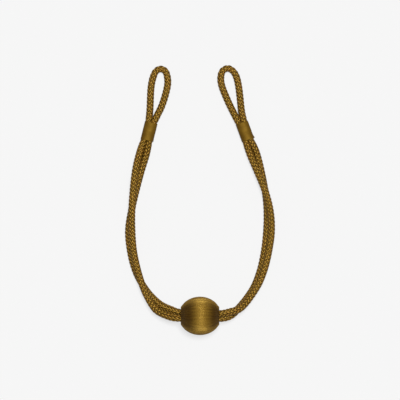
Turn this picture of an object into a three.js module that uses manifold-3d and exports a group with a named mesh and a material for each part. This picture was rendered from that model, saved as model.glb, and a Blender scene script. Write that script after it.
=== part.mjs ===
// Rope curtain tieback, lying flat: two folded cords whose tails meet inside a thread-wound ball.
// The fold of each cord is a hanging eye, closed by a collar of tape wrapped round both legs.
// The origin is on the floor under the ball, +Y runs up the arms to the eyes and +Z is up.
import * as THREE from 'three';
import { mergeVertices } from 'three/addons/utils/BufferGeometryUtils.js';
import Module from 'manifold-3d';

// Driving dimensions, in millimetres
const GAP = 0.3; // clearance between pieces that touch
const CORD_WIDTH = 8; // braided cord, across the flats of its section
const CORD_SIDES = 12;
const RINGS_PER_STRETCH = 2; // steps of a cord's solid between two points of its route
const BOUND_WIDTH = 5.8; // width of a cord where its collar squeezes it
const RELEASE = 22; // length over which a cord swells again past its collar
const TAPE = 1.0; // thickness of a collar's wall
const TAPE_LAP = 0.4; // how far the tape's lapped end stands out from the layer below it
const LAP_EDGE = 0; // height of the lapped end on the flank, from the collar's middle
const LAP_CORNER = 0.9; // how far the lap's free corner stands out at the ball's end
const COLLAR_LENGTH = 21.6;
const COLLAR_CORNER = 3.8; // outer corner radius of a collar's section
const COLLAR_STEPS = 5;
const BALL_RADIUS = 22.7;
const BALL_TURNS = 48; // facets round the ball
const BALL_FLAT = 0.35; // depth of the small flat spot that the ball rests on
const BORE_RADIUS = 8.9;

const CORD_RADIUS = CORD_WIDTH / 2;
const BALL_HEIGHT = BALL_RADIUS - BALL_FLAT; // centre of the ball above the floor
const BORE_HALF_WIDTH = BOUND_WIDTH + 2 * GAP; // hollow of a collar, half across
const BORE_HALF_HEIGHT = CORD_RADIUS + GAP;
const COLLAR_HEIGHT = 2 * (BORE_HALF_HEIGHT + TAPE);
const COLLAR_WIDTH = 2 * (BORE_HALF_WIDTH + TAPE);

// Middle of each collar on the floor, and its turn from the straight line up the arms
const COLLARS = {
  left: { x: -60.27, y: 217.43, tilt: -14 },
  right: { x: 52.8, y: 217.35, tilt: 20 },
};

// Route of the left cord, from the tail that lies under, round the eye, to the tail that lies over
const LEFT_ROUTE = [
  // x, y, z
  [-0.35, 4.15, 20.4], // tail inside the ball
  [-25.2, 4.4, 20.6], // mouth of the ball
  [-33.8, 7.2, 17.7],
  [-46.4, 13.0, 11.6],
  [-58.2, 23.7, 6.0],
  [-68.6, 37.9, 4.1], // down on the floor
  [-76.3, 53.9, 4.0],
  [-82.2, 77.2, 4.0],
  [-84.2, 100.9, 4.0],
  [-80.2, 126.7, 4.0],
  [-70.1, 167.9, 4.0],
  [-63.2, 190.6, 4.2],
  [-59.97, 205.73, 5.3], // collar
  [-57.17, 216.63, 5.3],
  [-54.47, 227.63, 5.3],
  [-50.5, 236.1, 4.8],
  [-44.5, 248.9, 4.0], // eye
  [-38.1, 273.2, 4.0],
  [-38.8, 283.1, 4.0],
  [-41.0, 288.6, 4.0],
  [-46.5, 291.1, 4.0], // top of the eye
  [-51.8, 288.6, 4.0],
  [-55.1, 281.7, 4.0],
  [-57.5, 271.0, 4.0],
  [-59.1, 242.7, 4.3],
  [-60.57, 229.13, 5.3], // collar
  [-63.37, 218.23, 5.3],
  [-66.07, 207.23, 5.3],
  [-71.1, 192.7, 5.4],
  [-76.3, 169.3, 10.5], // climbing over the other leg
  [-80.2, 126.7, 12.6],
  [-80.3, 100.9, 11.7],
  [-78.5, 77.6, 11.7],
  [-73.8, 54.9, 12.2],
  [-68.6, 37.9, 12.8],
  [-61.4, 21.3, 14.1],
  [-51.5, 6.9, 15.6],
  [-36.6, -0.55, 21.3],
  [-25.2, -2.7, 25.45], // mouth of the ball
  [-0.35, -2.9, 25.15], // tail inside the ball
];

// Route of the right cord, in the same order
const RIGHT_ROUTE = [
  // x, y, z
  [0.35, -2.7, 19.05], // tail inside the ball
  [25.4, -3.0, 19.0], // mouth of the ball
  [36.7, 0.6, 14.5],
  [46.5, 10.1, 9.5],
  [55.3, 21.0, 6.0],
  [64.0, 34.7, 4.2],
  [71.3, 54.2, 4.0], // down on the floor
  [76.1, 76.9, 4.0],
  [78.6, 100.1, 4.0],
  [79.1, 123.4, 4.0],
  [76.9, 146.8, 4.0],
  [66.4, 192.9, 4.2],
  [59.6, 207.85, 5.3], // collar
  [55.8, 218.45, 5.3],
  [51.98, 228.98, 5.3],
  [49.3, 239.7, 4.6],
  [45.6, 270.4, 4.0], // eye
  [42.7, 282.4, 4.0],
  [38.5, 289.0, 4.0],
  [32.6, 291.8, 4.0], // top of the eye
  [26.7, 288.8, 4.0],
  [24.6, 281.5, 4.0],
  [25.3, 272.9, 4.0],
  [33.5, 251.9, 4.0],
  [39.4, 239.7, 4.6],
  [45.92, 226.82, 5.3], // collar
  [49.8, 216.25, 5.3],
  [53.7, 205.75, 5.3],
  [59.0, 190.3, 7.6], // climbing over the other leg
  [68.2, 168.6, 11.75],
  [76.9, 146.8, 12.65],
  [82.8, 123.7, 11.8],
  [84.2, 99.8, 10.6],
  [81.1, 76.2, 11.0],
  [75.3, 53.0, 11.6],
  [66.7, 33.3, 12.6],
  [47.5, 9.0, 18.6],
  [35.7, 4.7, 22.8],
  [25.4, 2.8, 25.7], // mouth of the ball
  [0.35, 2.8, 25.65], // tail inside the ball
];

// Half of the ball's outline and mouth, from its widest ring to the bore
const BALL_OUTLINE = [
  // along the bore, radius
  [0, BALL_RADIUS],
  [4, 22.4],
  [8, 21.55],
  [12, 20.0],
  [15, 18.3],
  [17.6, 16.4],
  [19.8, 14.3],
  [21.5, 12.3],
  [22.7, 11.0],
  [23.1, 10.1],
  [22.7, 9.4],
  [21.2, BORE_RADIUS],
];
const OUTLINE_STEPS = 18;

const CORD_LEFT_FINISH = { color: 0x7a5c22, roughness: 0.62, metalness: 0 };
const CORD_RIGHT_FINISH = { color: 0x785a20, roughness: 0.62, metalness: 0 };
const COLLAR_FINISH = { color: 0x77591f, roughness: 0.45, metalness: 0 };
const BALL_FINISH = { color: 0x6a4a1c, roughness: 0.38, metalness: 0 };

const UP = new THREE.Vector3(0, 0, 1);
const wasm = await Module();
wasm.setup();

/** A named piece with a finish of its own. */
function piece(name, geometry, finish) {
  const mesh = new THREE.Mesh(geometry, new THREE.MeshStandardMaterial(finish));
  mesh.name = name;
  return mesh;
}

/** The closed solid of a geometry, ready to be cut. */
function solidOf(geometry) {
  const bare = geometry.clone();
  bare.deleteAttribute('normal');
  bare.deleteAttribute('uv');
  const merged = mergeVertices(bare, 1e-4);
  return new wasm.Manifold(new wasm.Mesh({
    numProp: 3,
    vertProperties: new Float32Array(merged.attributes.position.array),
    triVerts: new Uint32Array(merged.index.array),
  }));
}

/** The geometry of a cut solid. */
function geometryOf(solid) {
  const { vertProperties, triVerts } = solid.getMesh();
  const geometry = new THREE.BufferGeometry();
  geometry.setAttribute('position', new THREE.BufferAttribute(new Float32Array(vertProperties), 3));
  geometry.setIndex(new THREE.BufferAttribute(new Uint32Array(triVerts), 1));
  geometry.computeVertexNormals();
  return geometry;
}

/** Unit vector along a collar, from its eye's end to its ball's end. */
function collarAxis(collar) {
  const turn = THREE.MathUtils.degToRad(collar.tilt);
  return new THREE.Vector3(Math.sin(turn), -Math.cos(turn), 0);
}

/** Share of its full width that a cord keeps at a point, narrow inside its collar. */
function squeeze(point, collar) {
  const middle = new THREE.Vector3(collar.x, collar.y, point.z);
  const along = Math.abs(point.clone().sub(middle).dot(collarAxis(collar)));
  const free = THREE.MathUtils.smoothstep(along, COLLAR_LENGTH / 2, COLLAR_LENGTH / 2 + RELEASE);
  return THREE.MathUtils.lerp(BOUND_WIDTH / CORD_WIDTH, 1, free);
}

/** Section of a cord: a regular polygon with a flat side down. */
function cordSection() {
  const corner = CORD_RADIUS / Math.cos(Math.PI / CORD_SIDES);
  const corners = [];
  for (let i = 0; i < CORD_SIDES; i += 1) {
    const angle = ((i + 0.5) * 2 * Math.PI) / CORD_SIDES;
    corners.push(new THREE.Vector2(corner * Math.cos(angle), corner * Math.sin(angle)));
  }
  return new THREE.Shape(corners);
}

/** A cord: a straight extrusion whose rings are carried onto the route, upright all the way. */
function cord(name, points, collar, finish) {
  const route = new THREE.CatmullRomCurve3(points.map(([x, y, z]) => new THREE.Vector3(x, y, z)));
  const steps = (points.length - 1) * RINGS_PER_STRETCH;
  const geometry = new THREE.ExtrudeGeometry(cordSection(), { depth: 1, steps, bevelEnabled: false });
  const corners = geometry.attributes.position;
  for (let i = 0; i < corners.count; i += 1) {
    const share = corners.getZ(i);
    const centre = route.getPoint(share);
    const heading = route.getTangent(share);
    const side = UP.clone().cross(heading).normalize();
    const rise = heading.clone().cross(side);
    centre.addScaledVector(side, corners.getX(i) * squeeze(centre, collar));
    centre.addScaledVector(rise, corners.getY(i));
    corners.setXYZ(i, centre.x, centre.y, Math.max(centre.z, 0));
  }
  geometry.computeVertexNormals();
  return piece(name, geometry, finish);
}

/** Section of a collar: tape wrapped round both legs, thicker on the flank where it laps itself. */
function collarSection() {
  const quarter = Math.PI / 2;
  const flat = COLLAR_WIDTH / 2 - COLLAR_CORNER;
  const upright = COLLAR_HEIGHT / 2 - COLLAR_CORNER;
  const flank = COLLAR_WIDTH / 2;
  const section = new THREE.Shape();
  section.moveTo(-flat, -COLLAR_HEIGHT / 2);
  section.absarc(flat, -upright, COLLAR_CORNER, -quarter, 0);
  section.lineTo(flank, LAP_EDGE);
  section.lineTo(flank + TAPE_LAP, LAP_EDGE);
  section.absellipse(flat, upright, COLLAR_CORNER + TAPE_LAP, COLLAR_CORNER, 0, quarter);
  section.absarc(-flat, upright, COLLAR_CORNER, quarter, 2 * quarter);
  section.absarc(-flat, -upright, COLLAR_CORNER, 2 * quarter, 3 * quarter);

  const inner = COLLAR_CORNER - TAPE;
  const hollow = new THREE.Path();
  hollow.absarc(flat, -upright, inner, -quarter, 0);
  hollow.absarc(flat, upright, inner, 0, quarter);
  hollow.absarc(-flat, upright, inner, quarter, 2 * quarter);
  hollow.absarc(-flat, -upright, inner, 2 * quarter, 3 * quarter);
  section.holes.push(hollow);
  return section;
}

/** A collar: a sleeve of tape round both legs of a cord, flat underneath. */
function collar(name, place) {
  const geometry = new THREE.ExtrudeGeometry(collarSection(), {
    depth: COLLAR_LENGTH,
    steps: COLLAR_STEPS,
    curveSegments: 5,
    bevelEnabled: false,
  });
  geometry.translate(0, 0, -COLLAR_LENGTH / 2);
  const corners = geometry.attributes.position;
  const lowerEnd = COLLAR_LENGTH / 2 - GAP;
  for (let i = 0; i < corners.count; i += 1) {
    const x = corners.getX(i);
    const onLap = x > (COLLAR_WIDTH + TAPE_LAP) / 2;
    if (onLap && corners.getZ(i) > lowerEnd) {
      corners.setX(i, x + LAP_CORNER);
    }
  }
  geometry.computeVertexNormals();
  const mesh = piece(name, geometry, COLLAR_FINISH);
  mesh.position.set(place.x, place.y, COLLAR_HEIGHT / 2);
  mesh.rotation.set(Math.PI / 2, 0, THREE.MathUtils.degToRad(place.tilt), 'ZYX');
  return mesh;
}

/** The ball: a wound bead turned about its bore, which runs along X, with a small flat spot. */
function ball() {
  const half = new THREE.SplineCurve(BALL_OUTLINE.map(([along, radius]) => new THREE.Vector2(radius, along)));
  const near = half.getPoints(OUTLINE_STEPS);
  const far = near.slice(1).map((point) => new THREE.Vector2(point.x, -point.y));
  const outline = [...far.reverse(), ...near];
  outline.push(outline[0].clone());
  const bead = new THREE.LatheGeometry(outline, BALL_TURNS);
  bead.rotateZ(Math.PI / 2);
  bead.translate(0, 0, BALL_HEIGHT);
  const below = new THREE.BoxGeometry(4 * BALL_RADIUS, 4 * BALL_RADIUS, BALL_RADIUS);
  below.translate(0, 0, -BALL_RADIUS / 2);
  return piece('ball', geometryOf(solidOf(bead).subtract(solidOf(below))), BALL_FINISH);
}

const tieback = new THREE.Group();
tieback.add(cord('cord_left', LEFT_ROUTE, COLLARS.left, CORD_LEFT_FINISH));
tieback.add(cord('cord_right', RIGHT_ROUTE, COLLARS.right, CORD_RIGHT_FINISH));
tieback.add(collar('collar_left', COLLARS.left));
tieback.add(collar('collar_right', COLLARS.right));
tieback.add(ball());

export default tieback;
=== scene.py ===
"""Looks of a rope curtain tieback: two braided cords, their tape collars and a thread-wound ball."""

import logging
import math
from dataclasses import dataclass, field
from enum import Enum
from typing import Any

import bpy
import numpy as np
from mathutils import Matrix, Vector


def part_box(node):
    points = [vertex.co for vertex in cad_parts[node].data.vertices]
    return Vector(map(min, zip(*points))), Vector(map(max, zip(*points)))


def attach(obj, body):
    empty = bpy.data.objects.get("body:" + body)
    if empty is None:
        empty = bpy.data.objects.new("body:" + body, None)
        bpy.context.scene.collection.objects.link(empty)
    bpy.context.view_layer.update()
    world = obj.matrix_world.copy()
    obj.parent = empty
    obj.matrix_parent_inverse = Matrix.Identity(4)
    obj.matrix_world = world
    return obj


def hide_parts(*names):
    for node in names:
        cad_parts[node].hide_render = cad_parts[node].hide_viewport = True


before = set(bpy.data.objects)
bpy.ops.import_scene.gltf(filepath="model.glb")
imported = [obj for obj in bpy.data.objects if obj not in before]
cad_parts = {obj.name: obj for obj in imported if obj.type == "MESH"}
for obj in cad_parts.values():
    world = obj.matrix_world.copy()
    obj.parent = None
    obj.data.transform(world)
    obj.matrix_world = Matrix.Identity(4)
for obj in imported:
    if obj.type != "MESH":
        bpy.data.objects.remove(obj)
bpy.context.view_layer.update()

LOG = logging.getLogger("tieback")
MM = 0.001  # lengths are in metres, and are written in millimetres
BODY = "root"
WEAVE_MAP = "Weave"  # how far a point lies along and across its thread, in millimetres
SHEET_MAP = "OFBake"  # the same faces laid side by side, none over another
UP = np.array((0.0, 0.0, 1.0))

Point = tuple[float, float, float]
Colour = tuple[float, float, float, float]
Span = tuple[float, float]  # where an eased step starts and ends

# Route of the left cord, from the tail that lies under, round the eye, to the tail that lies over
LEFT_ROUTE: tuple[Point, ...] = (
    (-0.00035, 0.00415, 0.0204),  # tail inside the ball
    (-0.0252, 0.0044, 0.0206),  # mouth of the ball
    (-0.0338, 0.0072, 0.0177),
    (-0.0464, 0.0130, 0.0116),
    (-0.0582, 0.0237, 0.0060),
    (-0.0686, 0.0379, 0.0041),  # down on the floor
    (-0.0763, 0.0539, 0.0040),
    (-0.0822, 0.0772, 0.0040),
    (-0.0842, 0.1009, 0.0040),
    (-0.0802, 0.1267, 0.0040),
    (-0.0701, 0.1679, 0.0040),
    (-0.0632, 0.1906, 0.0042),
    (-0.05997, 0.20573, 0.0053),  # collar
    (-0.05717, 0.21663, 0.0053),
    (-0.05447, 0.22763, 0.0053),
    (-0.0505, 0.2361, 0.0048),
    (-0.0445, 0.2489, 0.0040),  # eye
    (-0.0381, 0.2732, 0.0040),
    (-0.0388, 0.2831, 0.0040),
    (-0.0410, 0.2886, 0.0040),
    (-0.0465, 0.2911, 0.0040),  # top of the eye
    (-0.0518, 0.2886, 0.0040),
    (-0.0551, 0.2817, 0.0040),
    (-0.0575, 0.2710, 0.0040),
    (-0.0591, 0.2427, 0.0043),
    (-0.06057, 0.22913, 0.0053),  # collar
    (-0.06337, 0.21823, 0.0053),
    (-0.06607, 0.20723, 0.0053),
    (-0.0711, 0.1927, 0.0054),
    (-0.0763, 0.1693, 0.0105),  # climbing over the other leg
    (-0.0802, 0.1267, 0.0126),
    (-0.0803, 0.1009, 0.0117),
    (-0.0785, 0.0776, 0.0117),
    (-0.0738, 0.0549, 0.0122),
    (-0.0686, 0.0379, 0.0128),
    (-0.0614, 0.0213, 0.0141),
    (-0.0515, 0.0069, 0.0156),
    (-0.0366, -0.00055, 0.0213),
    (-0.0252, -0.0027, 0.02545),  # mouth of the ball
    (-0.00035, -0.0029, 0.02515),  # tail inside the ball
)

# Route of the right cord, in the same order
RIGHT_ROUTE: tuple[Point, ...] = (
    (0.00035, -0.0027, 0.01905),  # tail inside the ball
    (0.0254, -0.0030, 0.0190),  # mouth of the ball
    (0.0367, 0.0006, 0.0145),
    (0.0465, 0.0101, 0.0095),
    (0.0553, 0.0210, 0.0060),
    (0.0640, 0.0347, 0.0042),
    (0.0713, 0.0542, 0.0040),  # down on the floor
    (0.0761, 0.0769, 0.0040),
    (0.0786, 0.1001, 0.0040),
    (0.0791, 0.1234, 0.0040),
    (0.0769, 0.1468, 0.0040),
    (0.0664, 0.1929, 0.0042),
    (0.0596, 0.20785, 0.0053),  # collar
    (0.0558, 0.21845, 0.0053),
    (0.05198, 0.22898, 0.0053),
    (0.0493, 0.2397, 0.0046),
    (0.0456, 0.2704, 0.0040),  # eye
    (0.0427, 0.2824, 0.0040),
    (0.0385, 0.2890, 0.0040),
    (0.0326, 0.2918, 0.0040),  # top of the eye
    (0.0267, 0.2888, 0.0040),
    (0.0246, 0.2815, 0.0040),
    (0.0253, 0.2729, 0.0040),
    (0.0335, 0.2519, 0.0040),
    (0.0394, 0.2397, 0.0046),
    (0.04592, 0.22682, 0.0053),  # collar
    (0.0498, 0.21625, 0.0053),
    (0.0537, 0.20575, 0.0053),
    (0.0590, 0.1903, 0.0076),  # climbing over the other leg
    (0.0682, 0.1686, 0.01175),
    (0.0769, 0.1468, 0.01265),
    (0.0828, 0.1237, 0.0118),
    (0.0842, 0.0998, 0.0106),
    (0.0811, 0.0762, 0.0110),
    (0.0753, 0.0530, 0.0116),
    (0.0667, 0.0333, 0.0126),
    (0.0475, 0.0090, 0.0186),
    (0.0357, 0.0047, 0.0228),
    (0.0254, 0.0028, 0.0257),  # mouth of the ball
    (0.00035, 0.0028, 0.02565),  # tail inside the ball
)


class Arm(Enum):
    """The two arms of the tieback."""

    LEFT = "left"
    RIGHT = "right"


class Hand(Enum):
    """Which way a yarn winds round its cord."""

    RIGHT = 1
    LEFT = -1


class Ends(Enum):
    """How the first and the last ring of a swept skin are finished."""

    CAPPED = "capped"
    JOINED = "joined"


class Signal:
    """A shader socket that takes part in Python arithmetic."""

    def __init__(self, recipe: "Recipe", socket: bpy.types.NodeSocket | None) -> None:
        """Keeps the socket, none for a node that only takes values, and the recipe that it belongs to."""
        self.recipe = recipe
        self.socket = socket

    def maths(self, operation: str, first: "Signal | float", second: "Signal | float") -> "Signal":
        """Adds a Math node for an operation on two values."""
        return self.recipe.add("ShaderNodeMath", {"operation": operation}, {0: first, 1: second})

    def __add__(self, other: "Signal | float") -> "Signal":
        """Sum of two values."""
        return self.maths("ADD", self, other)

    def __radd__(self, other: float) -> "Signal":
        """Sum with a plain number on the left."""
        return self.maths("ADD", other, self)

    def __sub__(self, other: "Signal | float") -> "Signal":
        """Difference of two values."""
        return self.maths("SUBTRACT", self, other)

    def __rsub__(self, other: float) -> "Signal":
        """Difference from a plain number on the left."""
        return self.maths("SUBTRACT", other, self)

    def __mul__(self, other: "Signal | float") -> "Signal":
        """Product of two values."""
        return self.maths("MULTIPLY", self, other)

    def __rmul__(self, other: float) -> "Signal":
        """Product with a plain number on the left."""
        return self.maths("MULTIPLY", other, self)


class Recipe:
    """The node tree of one finish or of the room, with one way to add a node."""

    def __init__(self, owner: bpy.types.Material | bpy.types.World) -> None:
        """Starts with an empty tree.

        Args:
            owner: The new material or world that the tree belongs to.
        """
        owner.use_nodes = True
        self.owner = owner
        self.tree = owner.node_tree
        self.tree.nodes.clear()

    def add(
        self,
        kind: str,
        settings: dict[str, Any] | None = None,
        sockets: dict[str | int, Any] | None = None,
        output: str | int = 0,
    ) -> Signal:
        """Adds a node.

        Args:
            kind: Blender's name of the node's type.
            settings: The node's own properties, set first.
            sockets: Values, or signals to link, by the name or number of an input.
            output: The name or number of the output that is wanted.

        Returns:
            The signal of that output.
        """
        node = self.tree.nodes.new(kind)
        for name, value in (settings or {}).items():
            setattr(node, name, value)
        for key, value in (sockets or {}).items():
            if isinstance(value, Signal):
                self.tree.links.new(value.socket, node.inputs[key])
            else:
                node.inputs[key].default_value = value
        return Signal(self, node.outputs[output] if node.outputs else None)

    def mix(self, share: Signal, low: "Signal | Colour", high: "Signal | Colour") -> Signal:
        """Blends two colours, from the first at a share of 0 to the second at 1."""
        return self.add("ShaderNodeMix", {"data_type": "RGBA"}, {0: share, 6: low, 7: high}, output=2)

    def value(self, name: str) -> Signal:
        """A value that the mesh holds for each of its points."""
        return self.add("ShaderNodeAttribute", {"attribute_name": name}, output="Fac")

    def streaks(self, along: float, across: float, detail: float = 2.0) -> Signal:
        """Noise that is drawn out along the threads.

        Args:
            along: Repeats in a millimetre of thread.
            across: Repeats in a millimetre across the threads.
            detail: How many finer layers are added.

        Returns:
            A value about 0.5.
        """
        place = self.add("ShaderNodeUVMap", {"uv_map": WEAVE_MAP})
        drawn = self.add(
            "ShaderNodeVectorMath",
            {"operation": "MULTIPLY"},
            {0: place, 1: (along, across, 0.0)},
        )
        return self.add("ShaderNodeTexNoise", None, {"Vector": drawn, "Scale": 1.0, "Detail": detail})

    def spread(self, value: Signal, low: float, high: float) -> Signal:
        """Stretches the part of a value between two limits to the range from 0 to 1."""
        return self.add("ShaderNodeMapRange", None, {"Value": value, "From Min": low, "From Max": high})

    def bump(self, height: Signal, depth: float, strength: float) -> Signal:
        """A normal that shows a height, which is worth a depth in metres, at a strength up to 1."""
        sockets = {"Height": height, "Distance": depth, "Strength": strength}
        return self.add("ShaderNodeBump", None, sockets)

    def finish(self, sockets: dict[str, Any]) -> bpy.types.Material:
        """Ends the recipe with a surface.

        Args:
            sockets: Values or signals for the Principled shader.

        Returns:
            The finished material.
        """
        surface = self.add("ShaderNodeBsdfPrincipled", None, sockets)
        self.add("ShaderNodeOutputMaterial", None, {"Surface": surface})
        return self.owner


def dye(red: int, green: int, blue: int) -> Colour:
    """A colour in linear light.

    Args:
        red: Red as a screen shows it, from 0 to 255.
        green: Green, likewise.
        blue: Blue, likewise.

    Returns:
        The colour, with full alpha.
    """
    screen = np.array((red, green, blue)) / 255
    linear = np.where(screen <= 0.04045, screen / 12.92, ((screen + 0.055) / 1.055) ** 2.4)
    return (float(linear[0]), float(linear[1]), float(linear[2]), 1.0)


@dataclass(frozen=True)
class YarnFinish:
    """Silky old-gold yarn: long filaments, painted light where a stitch comes up over the others, painted
    shade in the gaps.
    """

    # A lit and a shaded copy of the yarn's colour: the first is painted light on the tops of the
    # stitches, the flank colour is painted shade.
    painted_light: Colour = dye(110, 80, 20)
    flank: Colour = dye(28, 15, 2)
    russet: Colour = dye(114, 72, 25)
    russet_share: float = 0.55
    filament_light: float = 0.2
    roughness: float = 0.36
    filament_roughness: float = 0.2
    refraction: float = 1.72
    gloss_tint: Colour = dye(255, 206, 100)

    def material(self) -> bpy.types.Material:
        """Mixes the finish.

        Returns:
            The yarn's material.
        """
        recipe = Recipe(bpy.data.materials.new("silky_yarn"))
        filaments = recipe.streaks(along=0.22, across=4.5, detail=3.0)
        blotches = recipe.streaks(along=0.09, across=0.012, detail=1.0)
        # Painted light and shade that the mesh holds, plus a random tone along the filaments.
        height = recipe.value("painted_light") + self.filament_light * filaments
        lit = recipe.mix(recipe.spread(height, low=0.58, high=1.07), self.flank, self.painted_light)
        warm = recipe.spread(blotches, low=0.5, high=0.72) * self.russet_share
        return recipe.finish({
            "Base Color": recipe.mix(warm, lit, self.russet),
            "Roughness": self.roughness + self.filament_roughness * (1.0 - filaments),
            "Normal": recipe.bump(filaments, depth=0.2 * MM, strength=0.25),
            "IOR": self.refraction,
            "Specular IOR Level": 1.0,
            "Specular Tint": self.gloss_tint,
        })


@dataclass(frozen=True)
class CoreFinish:
    """Core strands that show through the gaps of the braid; the core is real, its near-black colour is
    painted shade for those gaps.
    """

    # Painted shade: both colours are kept far darker than the yarn to stand for the shade in the braid's
    # gaps.
    strand: Colour = dye(40, 25, 4)
    gap: Colour = dye(22, 12, 2)
    roughness: float = 0.85
    strand_gloss: float = 0.2

    def material(self) -> bpy.types.Material:
        """Mixes the finish.

        Returns:
            The core's material.
        """
        recipe = Recipe(bpy.data.materials.new("dark_core"))
        filaments = recipe.streaks(along=0.1, across=2.0)
        return recipe.finish({
            "Base Color": recipe.mix(filaments, self.gap, self.strand),
            "Roughness": self.roughness - self.strand_gloss * filaments,
            "Normal": recipe.bump(filaments, depth=0.2 * MM, strength=0.5),
        })


@dataclass(frozen=True)
class ThreadFinish:
    """Glossy bronze thread wound over the ball, in bundles of slightly different shades, with painted
    shade away from its bright band and in its grooves.
    """

    gold: Colour = dye(143, 111, 37)
    bronze: Colour = dye(102, 73, 20)
    # The dark colour takes the painted shade and the darker random tones of threads and bundles.
    shade_and_tone_brown: Colour = dye(44, 21, 2)
    bundle_share: float = 0.6
    bundle_wear: float = 0.45
    roughness: float = 0.26
    bundle_roughness: float = 0.16
    worn_roughness: float = 0.2
    metal: float = 0.16
    gloss_tint: Colour = dye(255, 215, 112)

    def material(self) -> bpy.types.Material:
        """Mixes the finish.

        Returns:
            The thread's material.
        """
        recipe = Recipe(bpy.data.materials.new("wound_thread"))
        filaments = recipe.streaks(along=0.05, across=5.0)
        bundles = recipe.streaks(along=0.012, across=0.42)
        sheen = self.bundle_share * bundles + (1 - self.bundle_share) * filaments
        lit = recipe.mix(recipe.spread(sheen, low=0.3, high=0.7), self.bronze, self.gold)
        # Painted shade away from the bright band and in the grooves, from the mesh, plus a random tone of
        # threads and bundles.
        worn = recipe.value("tone_and_painted_shade") + self.bundle_wear * (bundles - 0.5)
        gloss = self.roughness + self.bundle_roughness * (1.0 - bundles)
        return recipe.finish({
            "Base Color": recipe.mix(recipe.spread(worn, low=0.0, high=1.0), lit, self.shade_and_tone_brown),
            "Roughness": gloss + self.worn_roughness * worn,
            "Metallic": self.metal,
            "Normal": recipe.bump(filaments, depth=0.06 * MM, strength=0.5),
            "Specular IOR Level": 1.0,
            "Specular Tint": self.gloss_tint,
        })


@dataclass(frozen=True)
class TapeFinish:
    """Satin tape: fine threads laid round the legs, with a slightly uneven sheen."""

    gold: Colour = dye(90, 66, 15)
    shade: Colour = dye(66, 44, 8)
    thread_share: float = 0.45
    roughness: float = 0.46
    patch_roughness: float = 0.18
    gloss_tint: Colour = dye(255, 205, 90)

    def material(self) -> bpy.types.Material:
        """Mixes the finish.

        Returns:
            The tape's material.
        """
        recipe = Recipe(bpy.data.materials.new("satin_tape"))
        threads = recipe.streaks(along=0.06, across=3.6)
        patches = recipe.streaks(along=0.09, across=0.14)
        sheen = self.thread_share * threads + (1 - self.thread_share) * patches
        return recipe.finish({
            "Base Color": recipe.mix(recipe.spread(sheen, low=0.3, high=0.68), self.shade, self.gold),
            "Roughness": self.roughness + self.patch_roughness * (1.0 - patches),
            "Normal": recipe.bump(threads, depth=0.08 * MM, strength=0.45),
            "Specular IOR Level": 0.5,
            "Specular Tint": self.gloss_tint,
        })


@dataclass(frozen=True)
class FloorFinish:
    """Plain pale studio floor, dull to its surroundings and evened out so that its shadow is faint."""

    paper: Colour = (0.62, 0.62, 0.62, 1.0)
    grain: Colour = (0.61, 0.61, 0.61, 1.0)
    grain_scale: float = 900.0
    dull: Colour = (0.4, 0.4, 0.4, 1.0)
    glow: float = 0.922
    evenness: float = 0.76
    corner_reach: float = 6.0 * MM

    def material(self) -> bpy.types.Material:
        """Mixes the finish.

        Returns:
            The floor's material.
        """
        recipe = Recipe(bpy.data.materials.new("pale_floor"))
        speckle = recipe.add("ShaderNodeTexNoise", None, {"Scale": self.grain_scale, "Detail": 2.0})
        seen = recipe.add("ShaderNodeLightPath", output="Is Camera Ray")
        paper = recipe.mix(speckle, self.paper, self.grain)
        matt = recipe.add("ShaderNodeBsdfDiffuse", None, {"Color": recipe.mix(seen, self.dull, paper)})
        glow = recipe.add("ShaderNodeEmission", None, {"Strength": self.glow})
        reach = {"Distance": self.corner_reach}
        openness = recipe.add("ShaderNodeAmbientOcclusion", None, reach, output="AO")
        even = self.evenness * seen * recipe.spread(openness, low=0.15, high=0.5)
        both = recipe.add("ShaderNodeMixShader", None, {0: even, 1: matt, 2: glow})
        recipe.add("ShaderNodeOutputMaterial", None, {"Surface": both})
        return recipe.owner


def smooth_curve(points: np.ndarray, steps: int) -> np.ndarray:
    """A centripetal Catmull-Rom curve through points.

    Args:
        points: The points that it passes, in order.
        steps: How many steps it takes from each point to the next.

    Returns:
        The points of the curve, the last one included.
    """
    knots = np.vstack((2 * points[0] - points[1], points, 2 * points[-1] - points[-2]))
    spans = np.sqrt(np.linalg.norm(np.diff(knots, axis=0), axis=1))[:, None]
    before, here, after = spans[:-2], spans[1:-1], spans[2:]
    first, start, end, last = knots[:-3], knots[1:-2], knots[2:-1], knots[3:]
    leave = ((start - first) / before - (end - first) / (before + here)) * here + (end - start)
    reach = ((last - end) / after - (last - start) / (here + after)) * here + (end - start)
    share = (np.arange(steps) / steps)[None, :, None]
    start, end, leave, reach = (row[:, None, :] for row in (start, end, leave, reach))
    curve = (
        start * (2 * share**3 - 3 * share**2 + 1)
        + end * (3 * share**2 - 2 * share**3)
        + leave * (share**3 - 2 * share**2 + share)
        + reach * (share**3 - share**2)
    )
    return np.vstack((curve.reshape(-1, points.shape[1]), points[-1:]))


def unit(vectors: np.ndarray) -> np.ndarray:
    """Vectors brought to a length of 1."""
    return vectors / np.linalg.norm(vectors, axis=-1, keepdims=True)


def lengths_along(points: np.ndarray) -> np.ndarray:
    """How far each point of a line lies from its start, along the line."""
    return np.concatenate(([0.0], np.cumsum(np.linalg.norm(np.diff(points, axis=0), axis=1))))


def read_along(places: np.ndarray, along: np.ndarray, rows: np.ndarray) -> np.ndarray:
    """Rows of values that are known at lengths along a line, read at other places on it."""
    return np.stack([np.interp(places, along, column) for column in rows.T], axis=1)


def eased(value: np.ndarray, low: float, high: float) -> np.ndarray:
    """A smooth step from 0 at the low limit to 1 at the high one."""
    share = np.clip((value - low) / (high - low), 0.0, 1.0)
    return share * share * (3 - 2 * share)


def round_angles(sides: int) -> np.ndarray:
    """Angles of the corners round a regular section."""
    return 2 * np.pi * np.arange(sides) / sides


def squared_off(wave: np.ndarray, power: float) -> np.ndarray:
    """A wave made squarer by a power below 1."""
    return np.sign(wave) * np.abs(wave) ** power


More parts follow.
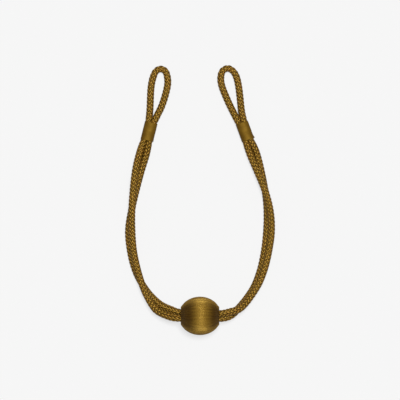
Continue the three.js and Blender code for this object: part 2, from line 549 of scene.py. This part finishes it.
def ripple(place: np.ndarray, waves: int, rng: np.random.Generator) -> np.ndarray:
    """A smooth uneven wave.

    Args:
        place: Where it is wanted, in units of its mean wavelength.
        waves: How many plain waves are summed.
        rng: The source of their lengths and starts.

    Returns:
        The wave, within about 1 either way.
    """
    usual_peak = 1.4
    slowest, fastest = 0.6, 1.5
    total = np.zeros_like(place)
    for _ in range(waves):
        total += np.sin(2 * np.pi * (place * rng.uniform(slowest, fastest) + rng.uniform()))
    return total / math.sqrt(waves) / usual_peak


def weave_map(along: np.ndarray, across: np.ndarray) -> np.ndarray:
    """Places in the weave map.

    Args:
        along: Lengths along the threads, by row and by column or alike over either.
        across: Lengths across the threads, likewise.

    Returns:
        The places in millimetres, by row and by column.
    """
    return np.stack(np.broadcast_arrays(along, across), axis=2) / MM


def put_in_scene(name: str, data: bpy.types.ID) -> bpy.types.Object:
    """Puts a mesh, a lamp or a camera in the scene.

    Args:
        name: The name of its object.
        data: What the object holds.

    Returns:
        The new object.
    """
    thing = bpy.data.objects.new(name, data)
    bpy.context.scene.collection.objects.link(thing)
    return thing


def stand_for(piece: bpy.types.Object, node: str) -> None:
    """Puts a piece in the place of a solid.

    Args:
        piece: The piece.
        node: The solid that it stands for.
    """
    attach(piece, BODY)
    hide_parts(node)


@dataclass
class Sweep:
    """One skin drawn from ring to ring.

    Attributes:
        rings: Points by ring and by side.
        weave: Places in the weave map, with one more row for joined ends and one more side.
        ends: How the first and the last ring are finished.
        values: Values for each point that a finish may read, by name.
        finish: Which of the piece's materials it wears.
        strips: In how many strips its faces are laid out.
        grooves: Which rings are the sharp bottom of a groove, if any are, in a skin of one sweep.
    """

    rings: np.ndarray
    weave: np.ndarray
    ends: Ends
    values: dict[str, np.ndarray] = field(default_factory=dict)
    finish: int = 0
    strips: int = 1
    grooves: np.ndarray | None = None

    def quads(self) -> tuple[np.ndarray, np.ndarray]:
        """Ring and side numbers of the four corners of each face.

        Returns:
            The ring numbers and the side numbers, each by face and by corner, not yet wrapped.
        """
        count, sides = self.rings.shape[:2]
        spans = count if self.ends is Ends.JOINED else count - 1
        ring, side = (grid.ravel() for grid in np.mgrid[0:spans, 0:sides])
        rings = np.stack((ring, ring, ring + 1, ring + 1), axis=1)
        return rings, np.stack((side, side + 1, side + 1, side), axis=1)


@dataclass
class Skin:
    """Swept skins gathered into one mesh, with the maps and values that its finishes read."""

    sweeps: list[Sweep]
    strip_margin: float = 0.05
    end_margin: float = 0.004
    cap_size: float = 0.001

    @property
    def strips(self) -> int:
        """How many strips the whole skin is laid out in."""
        return sum(sweep.strips for sweep in self.sweeps)

    def laid_out(self, sweep: Sweep, first: int) -> np.ndarray:
        """Places of a sweep's corners where no face lies over another.

        Args:
            sweep: The sweep whose faces are laid out.
            first: The number of its first strip.

        Returns:
            The places of all the corners, between 0 and 1.
        """
        ring, side = sweep.quads()
        length = math.ceil(ring.max() / sweep.strips)
        strip = ring[:, :1] // length
        along = (ring - strip * length) / length
        across = self.strip_margin + (1 - 2 * self.strip_margin) * side / sweep.rings.shape[1]
        place = self.end_margin + (1 - 2 * self.end_margin) * along
        return np.stack((place, (first + strip + across) / self.strips), axis=2).reshape(-1, 2)

    def caps_laid_out(self, sides: int, strip: int) -> list[np.ndarray]:
        """Places of the corners of a sweep's two caps, in the margins past the ends of the strips.

        Args:
            sides: How many sides the sweep has.
            strip: The number of its first strip.

        Returns:
            The places for the first cap and for the last.
        """
        turn = round_angles(sides)
        disc = self.cap_size * np.stack((np.cos(turn), np.sin(turn)), axis=1)
        spot = np.array((2 * self.cap_size, (strip + 0.5) / self.strips))
        return [spot + disc[::-1], 1 - spot + disc]

    def sharpen(self, mesh: bpy.types.Mesh) -> None:
        """Marks the edges at the bottom of grooves as sharp, in a skin of one sweep.

        Args:
            mesh: The mesh of that sweep.
        """
        sweep = self.sweeps[0]
        ends = np.empty(2 * len(mesh.edges), np.int32)
        mesh.edges.foreach_get("vertices", ends)
        near, far = ends.reshape(-1, 2).T // sweep.rings.shape[1]
        sharp = mesh.attributes.new("sharp_edge", "BOOLEAN", "EDGE")
        sharp.data.foreach_set("value", sweep.grooves[near] & (near == far))

    def piece(self, name: str, materials: list[bpy.types.Material]) -> bpy.types.Object:
        """Makes the mesh and puts it in the scene.

        Args:
            name: The piece's name.
            materials: Its finishes, in the order that the sweeps number them.

        Returns:
            The new object.
        """
        faces: list[list[int]] = []
        weave: list[np.ndarray] = []
        places: list[np.ndarray] = []
        worn: list[int] = []
        start = 0
        strip = 0
        for sweep in self.sweeps:
            count, sides = sweep.rings.shape[:2]
            ring, side = sweep.quads()
            faces += (start + (ring % count) * sides + side % sides).tolist()
            weave.append(sweep.weave[ring, side].reshape(-1, 2))
            places.append(self.laid_out(sweep, strip))
            if sweep.ends is Ends.CAPPED:
                around = np.arange(sides)
                last = start + (count - 1) * sides
                faces += [(start + around[::-1]).tolist(), (last + around).tolist()]
                weave += [sweep.weave[0, around[::-1]], sweep.weave[-1, around]]
                places += self.caps_laid_out(sides, strip)
            worn += [sweep.finish] * (len(faces) - len(worn))
            start += count * sides
            strip += sweep.strips
        mesh = bpy.data.meshes.new(name)
        points = np.concatenate([sweep.rings.reshape(-1, 3) for sweep in self.sweeps])
        mesh.from_pydata(points.tolist(), [], faces)
        for map_name, corners in ((WEAVE_MAP, weave), (SHEET_MAP, places)):
            layer = mesh.uv_layers.new(name=map_name)
            layer.uv.foreach_set("vector", np.concatenate(corners).astype(np.float32).ravel())
        for value_name in self.sweeps[0].values:
            values = np.concatenate([sweep.values[value_name].ravel() for sweep in self.sweeps])
            attribute = mesh.attributes.new(value_name, "FLOAT", "POINT")
            attribute.data.foreach_set("value", values.astype(np.float32))
        if self.sweeps[0].grooves is not None:
            self.sharpen(mesh)
        for material in materials:
            mesh.materials.append(material)
        mesh.polygons.foreach_set("material_index", worn)
        mesh.shade_smooth()
        mesh.update()
        return put_in_scene(name, mesh)


@dataclass(frozen=True)
class CollarPlace:
    """Where a collar lies.

    Attributes:
        x: Where its middle is, across the arms.
        y: Where its middle is, up the arms.
        tilt: Its turn from the line up the arms, in degrees.
        flare: How far the free corner of its tape stands out.
        length: Its length, which is the width of its tape.
    """

    x: float
    y: float
    tilt: float
    flare: float
    length: float = 21.6 * MM

    def axis(self) -> np.ndarray:
        """Unit vector along the collar, from its eye's end to its ball's end."""
        turn = math.radians(self.tilt)
        return np.array((math.sin(turn), -math.cos(turn), 0.0))

    def across(self) -> np.ndarray:
        """Unit vector across the collar, to the photograph's right."""
        turn = math.radians(self.tilt)
        return np.array((math.cos(turn), math.sin(turn), 0.0))

    def middle(self) -> np.ndarray:
        """The collar's middle, on the floor."""
        return np.array((self.x, self.y, 0.0))


PLACES = {
    Arm.LEFT: CollarPlace(-60.27 * MM, 217.43 * MM, -14.0, flare=0.2 * MM),
    Arm.RIGHT: CollarPlace(52.8 * MM, 217.35 * MM, 20.0, flare=0.9 * MM),
}


@dataclass
class BraidedCord:
    """One folded cord: yarns braided two over two round a dark core.

    Its legs are squashed together by their collar, and a leg that lies over the other sinks into it. The
    cord is drawn in inside the ball, is fuller just outside it, and is narrower at the top of its eye.
    """

    arm: Arm
    route: tuple[Point, ...]
    collar: CollarPlace
    width: float = 8.0 * MM
    route_steps: int = 40
    path_every: int = 4
    strips: int = 3  # in which each yarn, and the core, is laid out
    seed: int = 11

    # How the legs lie on each other, by the distance between their middles
    fold: float = 60.0 * MM  # parts that are nearer than this along the cord aren't two legs
    nested: float = 8.0 * MM
    sinking: float = 1.3 * MM
    stacked: Span = (5.6 * MM, 7.2 * MM)
    touching: Span = (9.8 * MM, 11.5 * MM)
    smoothing: int = 20

    # How the cord's width changes, by the distance from its collar, its ends or the top of its eye
    squash: float = 1.15
    collar_reach: Span = (25.0 * MM, 60.0 * MM)
    swelling: float = 0.06
    swelling_start: Span = (25.0 * MM, 35.0 * MM)
    swelling_end: Span = (52.0 * MM, 70.0 * MM)
    narrowing: float = 0.09
    eye_reach: Span = (4.0 * MM, 16.0 * MM)
    mouth_hold: float = 0.94
    mouth_reach: Span = (20.0 * MM, 27.0 * MM)

    # The braid
    carriers: int = 8  # yarns that wind each way
    lead: float = 35.4 * MM
    drifts: tuple[tuple[float, float], ...] = ((0.3, 190.0 * MM), (0.15, 70.0 * MM))  # turn, length
    over_radius: float = 3.84 * MM
    under_radius: float = 2.5 * MM
    dwell: float = 1.8  # how long a yarn stays up before it dives
    uneven: float = 0.03 * MM
    uneven_length: float = 20.0 * MM

    # A yarn's section
    yarn_width: float = 1.75 * MM
    yarn_height: float = 1.05 * MM
    squareness: float = 0.8
    thinning: float = 0.06
    width_ripple: float = 0.04
    width_length: float = 15.0 * MM
    yarn_sides: int = 8
    steps_per_cycle: int = 8
    map_gap: float = 100.0 * MM  # from one yarn to the next in the weave map

    # Painted shade in the crevice between the legs, lighter near their collar
    crevice_depth: Span = (4.2 * MM, 5.8 * MM)
    crevice_shade: float = 0.4
    bound_reach: Span = (12.0 * MM, 34.0 * MM)
    bound_light: float = 0.6

    # The core
    core_radius: float = 2.2 * MM
    core_sides: int = 12
    core_step: float = 3.0 * MM

    def __post_init__(self) -> None:
        """Works out the cord's centreline and its upright frame."""
        self.line = self.settled(smooth_curve(np.array(self.route), self.route_steps))
        self.along = lengths_along(self.line)
        heading = unit(np.gradient(self.line, axis=0))
        self.side = unit(np.cross(UP, heading))
        self.rise = np.cross(heading, self.side)
        nearest = self.mates(self.line)
        self.mate = self.line[nearest]
        self.mate_heading = heading[nearest]
        tail = np.minimum(self.along, self.length - self.along)
        self.hold = self.mouth_hold + (1 - self.mouth_hold) * eased(tail, *self.mouth_reach)
        self.squeeze = self.fullness(tail)

    @property
    def length(self) -> float:
        """Length of the cord along its centreline."""
        return float(self.along[-1])

    def mates(self, line: np.ndarray) -> np.ndarray:
        """Number of the nearest point of the other leg.

        Args:
            line: A centreline of the cord.

        Returns:
            The number, for each point of the centreline.
        """
        along = lengths_along(line)
        apart = np.linalg.norm(line[:, None, :] - line[None, :, :], axis=2)
        apart[np.abs(along[:, None] - along[None, :]) < self.fold] = self.fold
        return apart.argmin(axis=1)

    def settled(self, line: np.ndarray) -> np.ndarray:
        """Lets the leg that lies over sink a little into the leg under it.

        Args:
            line: The centreline of the cord before that.

        Returns:
            The centreline after it.
        """
        mate = line[self.mates(line)]
        apart = np.linalg.norm(line - mate, axis=1)
        level = np.linalg.norm((line - mate)[:, :2], axis=1)
        over = (1 - eased(level, *self.stacked)) * (1 - eased(apart, *self.touching))
        rest = mate[:, 2] + np.sqrt(np.maximum(self.nested**2 - level**2, 0.0))
        drop = over * np.clip(line[:, 2] - rest, 0.0, self.sinking)
        drop[line[:, 2] < mate[:, 2]] = 0.0
        window = np.hanning(2 * self.smoothing + 1)
        padded = np.pad(drop, self.smoothing, mode="edge")
        drop = np.convolve(padded, window / window.sum(), mode="valid")
        return line - drop[:, None] * UP

    def fullness(self, tail: np.ndarray) -> np.ndarray:
        """How wide the cord lies at each point of its centreline, next to its free width.

        Args:
            tail: How far each point lies from the nearer end of the cord.

        Returns:
            Less than 1 by the collar, where the legs share its room, and at the top of the eye, and a
            little over 1 by the ball.
        """
        spacing = np.linalg.norm(self.line - self.mate, axis=1)
        pressed = np.minimum(1.0, self.squash * spacing / self.width)
        from_collar = np.linalg.norm(self.line - self.collar.middle(), axis=1)
        by_collar = 1 - eased(from_collar, *self.collar_reach)
        by_ball = eased(tail, *self.swelling_start) * (1 - eased(tail, *self.swelling_end))
        top = self.along[np.argmax(self.line[:, 1])]
        at_top = 1 - eased(np.abs(self.along - top), *self.eye_reach)
        return 1 - by_collar * (1 - pressed) + self.swelling * by_ball - self.narrowing * at_top

    def ring_points(self, places: np.ndarray, angle: np.ndarray, radius: np.ndarray) -> np.ndarray:
        """Points round the cord.

        Args:
            places: Lengths from the cord's start.
            angle: Angle round the cord at each place.
            radius: Distance from the centreline at each place, before the cord's width changes.

        Returns:
            The points.
        """
        squeeze = np.interp(places, self.along, self.squeeze)
        radius = radius * np.interp(places, self.along, self.hold)
        return (
            read_along(places, self.along, self.line)
            + read_along(places, self.along, self.side) * (radius * np.cos(angle) * squeeze)[:, None]
            + read_along(places, self.along, self.rise) * (radius * np.sin(angle))[:, None]
        )

    def yarn(self, hand: Hand, number: int, rng: np.random.Generator) -> Sweep:
        """One yarn of the braid.

        Args:
            hand: Which way it winds.
            number: Which of the yarns of that hand it is.
            rng: The source of its unevenness.

        Returns:
            The yarn's skin.
        """
        crossing = self.lead / (2 * self.carriers)
        count = round(self.length / (4 * crossing) * self.steps_per_cycle)
        places = np.linspace(0.0, self.length, count + 1)
        # A yarn goes over two of the other hand and then under two, which sets where each hand starts
        start = 2 * hand.value * number - (0.5 if hand is Hand.RIGHT else 1.5)
        phase = (places / crossing + start) * np.pi / 2
        wave = np.tanh(self.dwell * np.cos(phase)) / math.tanh(self.dwell)
        middle = (self.over_radius + self.under_radius) / 2
        swing = (self.over_radius - self.under_radius) / 2
        uneven = self.uneven * (1 + ripple(places / self.uneven_length, waves=3, rng=rng))
        radius = middle + swing * wave - uneven
        drift = sum(turn * np.sin(2 * np.pi * places / length) for turn, length in self.drifts)
        angle = 2 * np.pi * (number / self.carriers + hand.value * places / self.lead) + drift
        line = self.ring_points(places, angle, radius)

        heading = unit(np.gradient(line, axis=0))
        squeeze = np.interp(places, self.along, self.squeeze)
        out = (
            read_along(places, self.along, self.side) * (np.cos(angle) / squeeze)[:, None]
            + read_along(places, self.along, self.rise) * np.sin(angle)[:, None]
        )
        out = unit(out - heading * np.sum(out * heading, axis=1, keepdims=True))
        across = np.cross(out, heading)
        turn = round_angles(self.yarn_sides)
        flat = squared_off(np.cos(turn), self.squareness)
        tall = squared_off(np.sin(turn), self.squareness)
        width = self.yarn_width * (1 - self.thinning * (1 - wave))
        width = width * (1 + self.width_ripple * ripple(places / self.width_length, waves=3, rng=rng))
        rings = (
            line[:, None, :]
            + across[:, None, :] * (width[:, None] / 2 * flat)[:, :, None]
            + out[:, None, :] * (self.yarn_height / 2 * tall)[:, None]
        )
        rings[:, :, 2] = np.maximum(rings[:, :, 2], 0.0)

        # Painted light and shade: lightest where the yarn comes over and on the top of its section,
        # darkest where it dives under, on its sides and in the crevice between the legs.
        lit = 1 - self.crevice_shade * self.crevice(places, rings)
        painted_light = (0.5 + 0.5 * wave)[:, None] * (0.5 + 0.5 * tall) * lit
        tone_and_painted_shade = np.full_like(painted_light, rng.uniform())
        thread = number + (0 if hand is Hand.RIGHT else self.carriers)
        girth = 2 * (self.yarn_width + self.yarn_height)
        round_yarn = self.map_gap * thread + girth * np.arange(self.yarn_sides + 1) / self.yarn_sides
        weave = weave_map(lengths_along(line)[:, None], round_yarn)
        return Sweep(rings, weave, Ends.CAPPED, {"painted_light": painted_light, "tone_and_painted_shade": tone_and_painted_shade}, strips=self.strips)

    def crevice(self, places: np.ndarray, rings: np.ndarray) -> np.ndarray:
        """How deep points lie in the crevice between the cord's two legs, which sets the painted shade
        there.

        Args:
            places: Lengths from the cord's start, by ring.
            rings: Points by ring and by side.

        Returns:
            0 in the open, 1 where the legs meet and less near their collar, by ring and by side.
        """
        heading = unit(read_along(places, self.along, self.mate_heading))[:, None, :]
        away = rings - read_along(places, self.along, self.mate)[:, None, :]
        away = away - heading * np.sum(away * heading, axis=2, keepdims=True)
        deep = 1 - eased(np.linalg.norm(away, axis=2), *self.crevice_depth)
        bound = 1 - eased(np.linalg.norm(rings - self.collar.middle(), axis=2), *self.bound_reach)
        return (1 - self.bound_light * bound) * deep

    def core(self) -> Sweep:
        """The core strand inside the braid.

        Returns:
            The core's skin.
        """
        count = round(self.length / self.core_step)
        places = np.linspace(0.0, self.length, count + 1)
        radius = np.full_like(places, self.core_radius)
        columns = [
            self.ring_points(places, np.full_like(places, angle), radius)
            for angle in round_angles(self.core_sides)
        ]
        round_core = 2 * np.pi * self.core_radius * np.arange(self.core_sides + 1) / self.core_sides
        weave = weave_map(places[:, None], round_core)
        flat = np.zeros((count + 1, self.core_sides))
        values = {"painted_light": flat, "tone_and_painted_shade": flat}
        return Sweep(np.stack(columns, axis=1), weave, Ends.CAPPED, values, finish=1, strips=self.strips)

    def build(self, materials: list[bpy.types.Material]) -> bpy.types.Object:
        """Args:
            materials: The yarn's finish and the core's.

        Returns:
            The cord's object.
        """
        rng = np.random.default_rng(self.seed)
        sweeps = [self.yarn(hand, number, rng) for hand in Hand for number in range(self.carriers)]
        piece = Skin([*sweeps, self.core()]).piece(f"braid_{self.arm.value}", materials)
        stand_for(piece, f"cord_{self.arm.value}")
        return piece


@dataclass
class TapeCollar:
    """A collar: satin tape wrapped round both legs, its free end lapped on one flank."""

    arm: Arm
    place: CollarPlace
    width: float = 14.8 * MM
    height: float = 10.6 * MM
    corner: float = 3.8 * MM
    dome: float = 2.2
    corner_points: int = 25
    dome_points: int = 49
    path_points: int = 241

    # The tape
    thickness: float = 0.42 * MM
    lap: float = 0.4 * MM
    tuck: float = 11.2 * MM
    clearance: float = 0.04 * MM
    selvedge: float = 0.12 * MM
    bead: float = 0.05 * MM
    bead_width: float = 0.7 * MM
    free_length: float = 4.0 * MM
    free_width: float = 6.0 * MM
    curl: float = 1.5
    rings: int = 150
    steps_across: int = 40
    map_gap: float = 200.0 * MM  # from its back to its face in the weave map

    # Its slack
    slack: float = 0.04 * MM
    slack_length: float = 9.0 * MM
    slack_width: float = 14.0 * MM
    slack_start: float = 3.0
    seed: int = 5

    def outline(self) -> tuple[np.ndarray, np.ndarray, float]:
        """The wrapped path round both legs.

        It starts in the middle of the top and runs down the lapped flank, under the legs, up the other
        flank and back over the top.

        Returns:
            The path's points and outward normals, in the collar's section, and the length of one turn.
        """
        turn = np.radians(np.linspace(0, -90, self.corner_points))
        flat = self.width / 2 - self.corner
        arc = self.corner * np.stack((np.cos(turn), 1 + np.sin(turn)), axis=1) + (flat, 0.0)
        turn = np.radians(np.linspace(90, 0, self.dome_points))
        bulge = np.stack((np.cos(turn), np.sin(turn)), axis=1) ** (2 / self.dome)
        dome = bulge * (self.width, self.height) / 2 + (0.0, self.height / 2)
        right = np.vstack((dome, arc, np.zeros((1, 2))))
        line = np.vstack((right, right[-2::-1] * (-1, 1)))
        along = lengths_along(line)
        even = np.linspace(0.0, 1.0, self.path_points) * along[-1]
        line = read_along(even, along, line)
        ahead = unit(np.gradient(line, axis=0))
        return line, np.stack((-ahead[:, 1], ahead[:, 0]), axis=1), float(even[-1])

    def strip(self) -> Sweep:
        """The tape, wound once round and lapped.

        Returns:
            The tape's skin.
        """
        line, normal, turn = self.outline()
        along = lengths_along(line)
        end = turn + self.tuck
        wound = np.linspace(0.0, end, self.rings + 1)
        path = read_along(wound % turn, along, line)
        out = unit(read_along(wound % turn, along, normal))
        under = 1 - eased(wound, 0.0, self.tuck)
        over = eased(wound, turn, end)
        lift = self.lap * over - (self.thickness + self.clearance) * under

        half = self.place.length / 2
        across = np.linspace(-half, half, self.steps_across + 1)
        edge = half + self.selvedge
        share = np.concatenate((across, [edge], across[::-1], [-edge]))
        layer = np.concatenate((np.ones_like(across), [0.5], np.zeros_like(across), [0.5]))
        rng = np.random.default_rng(self.seed)
        slack = self.slack * ripple(wound / self.slack_length, waves=4, rng=rng)[:, None]
        slack = slack * ripple(share / self.slack_width + self.slack_start, waves=3, rng=rng)
        free = eased(wound, end - self.free_length, end)[:, None]
        corner = self.place.flare * free * eased(share, half - self.free_width, half) ** self.curl
        bead = self.bead * eased(np.abs(share), half - self.bead_width, half)
        offset = lift[:, None] + slack + corner + (layer - 1) * self.thickness + bead * (2 * layer - 1)

        flat = path[:, None, :] + out[:, None, :] * offset[:, :, None]
        rings = (
            self.place.middle()
            + flat[:, :, :1] * self.place.across()
            + flat[:, :, 1:] * UP
            + share[None, :, None] * self.place.axis()
        )
        rings[:, :, 2] = np.maximum(rings[:, :, 2], 0.0)
        round_tape = np.append(share, share[0]) + self.map_gap * np.append(layer, layer[0])
        return Sweep(rings, weave_map(wound[:, None], round_tape), Ends.CAPPED)

    def build(self, material: bpy.types.Material, cord: bpy.types.Object) -> bpy.types.Object:
        """Makes the collar and puts it in its solid's place.

        Args:
            material: The tape's finish.
            cord: The cord that it binds; not used.

        Returns:
            The collar's object.
        """
        piece = Skin([self.strip()]).piece(f"tape_{self.arm.value}", [material])
        stand_for(piece, f"collar_{self.arm.value}")
        cut = self.outline()[2] + self.tuck
        return piece


@dataclass
class WoundBall:
    """A bead wound with thread from hole to hole, each thread a ridge of its own."""

    # Half of the outline in millimetres, from the widest ring to the bore: along the bore, radius
    outline: tuple[tuple[float, float], ...] = (
        (0.0, 22.7),
        (4.0, 22.4),
        (8.0, 21.55),
        (12.0, 20.0),
        (15.0, 18.3),
        (17.6, 16.4),
        (19.6, 14.3),
        (21.15, 12.3),
        (22.3, 11.0),
        (22.7, 10.1),
        (22.4, 9.4),
        (21.2, 8.9),
    )
    outline_steps: int = 2
    bore_steps: int = 5

    # The threads
    threads: int = 190
    columns: int = 6
    heights: Span = (0.84, 1.0)
    mouth_fade: Span = (9.0 * MM, 10.6 * MM)
    sway: float = 0.22
    sway_step: float = 0.45  # from one thread to the next
    sway_lean: float = 2.6  # from mouth to mouth
    sway_drift: tuple[float, float] = (4.0, 0.07)
    lump_height: float = 0.03 * MM
    # Waves of lumps round the bore: how many, where they start, how they lean
    lumps: tuple[tuple[float, float, float], ...] = ((9.0, 1.0, 0.0), (17.0, 2.2, 1.0), (31.0, 0.0, 0.0))
    seed: int = 23

    # Painted shade: how the threads darken away from the bright band, most on the top and underside, and
    # in the grooves; and a random tone for each thread
    band_middle: float = 2.3 * MM
    band_fade: Span = (2.0 * MM, 15.2 * MM)
    flank_fade: Span = (0.22, 0.85)
    ragged: float = 1.6 * MM
    ragged_length: float = 4.0 * MM
    band_shade: float = 0.85
    groove_shade: float = 0.6
    thread_shade: float = 0.15

    def profile(self) -> np.ndarray:
        """The whole outline, over the ball from mouth to mouth and back through the bore.

        Returns:
            Places along the bore and radii, as a closed line.
        """
        half = smooth_curve(np.array(self.outline) * MM, self.outline_steps)
        over = np.vstack((half[::-1], half[1:] * (-1, 1)))
        mouth = half[-1, 0]
        inside = np.linspace(-mouth, mouth, self.bore_steps + 2)[1:-1]
        bore = np.stack((inside, np.full_like(inside, half[-1, 1])), axis=1)
        return np.vstack((over, bore))

    def skin(self) -> Sweep:
        """The wound thread, ridge by ridge.

        Returns:
            The ball's skin.
        """
        low, high = (np.array(corner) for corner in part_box("ball"))
        radius = (high[1] - low[1]) / 2
        middle = high[2] - radius
        rng = np.random.default_rng(self.seed)
        line = self.profile()
        count = self.threads * self.columns
        thread, column = np.divmod(np.arange(count), self.columns)
        within = column / self.columns
        round_top = np.sqrt(1 - (2 * within - 1) ** 2)

        far = np.roll(line, -1, axis=0) - np.roll(line, 1, axis=0)
        normal = unit(np.stack((far[:, 1], -far[:, 0]), axis=1))
        closeness = line[:, 1] / radius
        shown = eased(line[:, 1], *self.mouth_fade)
        heights = rng.uniform(*self.heights, self.threads)[thread]
        depth = np.pi * radius / self.threads
        ridge = -depth * (1 - round_top * heights)[:, None] * (closeness * shown)

        turn = 2 * np.pi * (thread + within) / self.threads
        travel = line[:, 0] / radius
        drift, pace = self.sway_drift
        bunch = self.sway_step * thread + drift * np.sin(pace * thread)
        sway = self.sway * np.sin(bunch[:, None] + self.sway_lean * travel)
        angle = turn[:, None] + 2 * np.pi / self.threads * sway * shown
        lumps = sum(np.sin(waves * angle + start + lean * travel) for waves, start, lean in self.lumps)
        offset = ridge + self.lump_height * lumps * shown * closeness

        place = line[None, :, :] + normal[None, :, :] * offset[:, :, None]
        across = place[:, :, 1] * np.cos(angle)
        rise = np.maximum(middle + place[:, :, 1] * np.sin(angle), 0.0)
        rings = np.stack((place[:, :, 0], across, rise), axis=2)
        along = lengths_along(np.vstack((line, line[:1])))
        along -= along[np.argmax(line[:, 1])]
        round_ball = 2 * np.pi * radius * np.arange(count + 1) / count
        weave = weave_map(along, round_ball[:, None])

        # Painted shade towards the mouths, away from the bright band and with a ragged edge, on the
        # threads of the top and underside, and in the grooves between threads; each thread also gets a
        # random tone.
        ragged = self.ragged * ripple(turn[:, None] * radius / self.ragged_length, waves=4, rng=rng)
        reach = np.abs(along[:-1] + self.band_middle) + ragged
        flank = eased(np.abs(np.sin(turn)), *self.flank_fade)[:, None]
        painted_band_shade = self.band_shade * eased(reach, *self.band_fade) * flank
        groove = self.groove_shade * (1 - round_top)[:, None]
        shade = self.thread_shade * rng.uniform(size=self.threads)[thread][:, None]
        tone_and_painted_shade = np.maximum(painted_band_shade, groove) + shade
        return Sweep(rings, weave, Ends.JOINED, {"tone_and_painted_shade": tone_and_painted_shade}, grooves=within == 0)

    def build(self, material: bpy.types.Material) -> bpy.types.Object:
        """Makes the ball and puts it in its solid's place.

        Args:
            material: The thread's finish.

        Returns:
            The ball's object.
        """
        piece = Skin([self.skin()]).piece("wound_ball", [material])
        stand_for(piece, "ball")
        return piece


@dataclass
class Studio:
    """A pale floor, soft light from overhead and a camera that looks straight down."""

    view_width: float = 472.0 * MM
    aim: tuple[float, float] = (0.0, 136.5 * MM)
    lens: float = 900.0
    sensor: float = 36.0
    floor_size: float = 6.0
    sun_strength: float = 4.25
    sun_spread: float = 18.0
    sun_tilt: tuple[float, float] = (-9.0, 4.0)
    room: Colour = (1.0, 1.0, 1.0, 1.0)
    room_strength: float = 0.17
    backdrop: Colour = (0.8, 0.8, 0.8, 1.0)
    backdrop_strength: float = 0.9

    def place_camera(self) -> None:
        """Hangs the camera over the middle of the view."""
        data = bpy.data.cameras.new("camera")
        data.lens = self.lens
        data.sensor_width = self.sensor
        camera = put_in_scene("camera", data)
        camera.location = (*self.aim, self.view_width * self.lens / self.sensor)
        bpy.context.scene.camera = camera

    def lay_floor(self) -> None:
        """Lays the floor under the tieback."""
        half = self.floor_size / 2
        mesh = bpy.data.meshes.new("floor")
        corners = [(-half, -half, 0.0), (half, -half, 0.0), (half, half, 0.0), (-half, half, 0.0)]
        mesh.from_pydata(corners, [], [(0, 1, 2, 3)])
        mesh.materials.append(FloorFinish().material())
        put_in_scene("floor", mesh)

    def light(self) -> None:
        """Hangs one broad soft light overhead and fills the room with a little more."""
        data = bpy.data.lights.new("overhead", "SUN")
        data.energy = self.sun_strength
        data.angle = math.radians(self.sun_spread)
        lamp = put_in_scene("overhead", data)
        lamp.rotation_euler = (math.radians(self.sun_tilt[0]), math.radians(self.sun_tilt[1]), 0.0)
        recipe = Recipe(bpy.data.worlds.new("room"))
        fill = {"Color": self.room, "Strength": self.room_strength}
        room = recipe.add("ShaderNodeBackground", None, fill)
        behind = {"Color": self.backdrop, "Strength": self.backdrop_strength}
        backdrop = recipe.add("ShaderNodeBackground", None, behind)
        seen = recipe.add("ShaderNodeLightPath", output="Is Camera Ray")
        both = recipe.add("ShaderNodeMixShader", None, {0: seen, 1: room, 2: backdrop})
        recipe.add("ShaderNodeOutputWorld", None, {"Surface": both})
        bpy.context.scene.world = recipe.owner
        bpy.context.scene.view_settings.view_transform = "Standard"


def main() -> None:
    """Builds the tieback on its floor."""
    logging.basicConfig(level=logging.INFO, format="%(name)s: %(message)s")
    LOG.info("frame with %d solids", len(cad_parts))
    studio = Studio()
    studio.place_camera()
    strands = [YarnFinish().material(), CoreFinish().material()]
    tape = TapeFinish().material()
    for arm, route in ((Arm.LEFT, LEFT_ROUTE), (Arm.RIGHT, RIGHT_ROUTE)):
        cord = BraidedCord(arm, route, PLACES[arm])
        braid = cord.build(strands)
        faces = len(braid.data.polygons)
        LOG.info("%s: %.0f mm of braided cord, %d faces", braid.name, cord.length / MM, faces)
        collar = TapeCollar(arm, PLACES[arm]).build(tape, braid)
        LOG.info("%s: tape collar, %d faces", collar.name, len(collar.data.polygons))
    ball = WoundBall().build(ThreadFinish().material())
    LOG.info("%s: wound ball, %d faces", ball.name, len(ball.data.polygons))
    studio.lay_floor()
    studio.light()


if __name__ == "__main__":
    main()
